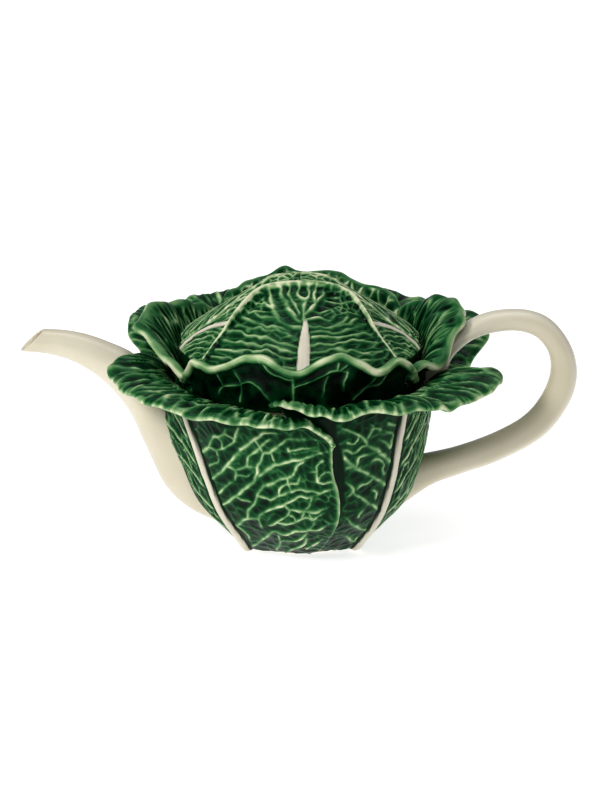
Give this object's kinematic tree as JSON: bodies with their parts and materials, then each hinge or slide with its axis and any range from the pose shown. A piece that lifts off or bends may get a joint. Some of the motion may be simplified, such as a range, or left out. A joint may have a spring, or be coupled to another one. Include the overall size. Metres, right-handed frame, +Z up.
{
  "type": "cabbage leaf teapot",
  "caption": "Glazed earthenware teapot shaped as a savoy cabbage, with a curved spout, a loop handle, flared leaves and a lift-off leafy lid",
  "frame": {"origin": "middle of the foot's resting face, on the bowl's axis", "axes": "+X towards the handle, -X towards the spout, -Y the front, +Z up"},
  "size_m": [0.3498, 0.2127, 0.1719],
  "materials": {
    "green_glaze": "translucent green glaze over relief, pooled near-black green in the hollows and thin light green on veins and rims, high gloss",
    "cream_glaze": "smooth glossy cream glaze",
    "bare_clay": "wiped bare biscuit clay"
  },
  "bodies": {
    "pot": {"bowl": "cream_glaze", "foot_ring": "bare_clay", "lid_seat": "cream_glaze", "spout": "cream_glaze", "handle": "cream_glaze", "back_right_leaf": "green_glaze", "back_left_leaf": "green_glaze", "front_left_leaf": "green_glaze", "front_right_leaf": "green_glaze"},
    "lid": {"lid_dome": "green_glaze", "lid_flange": "cream_glaze", "lid_skirt": "cream_glaze", "lid_right_leaf": "green_glaze", "lid_back_leaf": "green_glaze", "lid_left_leaf": "green_glaze", "lid_front_leaf": "green_glaze", "heart_front_leaf": "green_glaze", "heart_back_leaf": "green_glaze", "heart_left_wrap": "green_glaze", "heart_right_wrap": "green_glaze"}
  },
  "joints": [
    {"name": "lid_lift", "type": "slide", "parent": "pot", "child": "lid", "axis": [0, 0, 1], "range_m": [0, 0.12]}
  ]
}
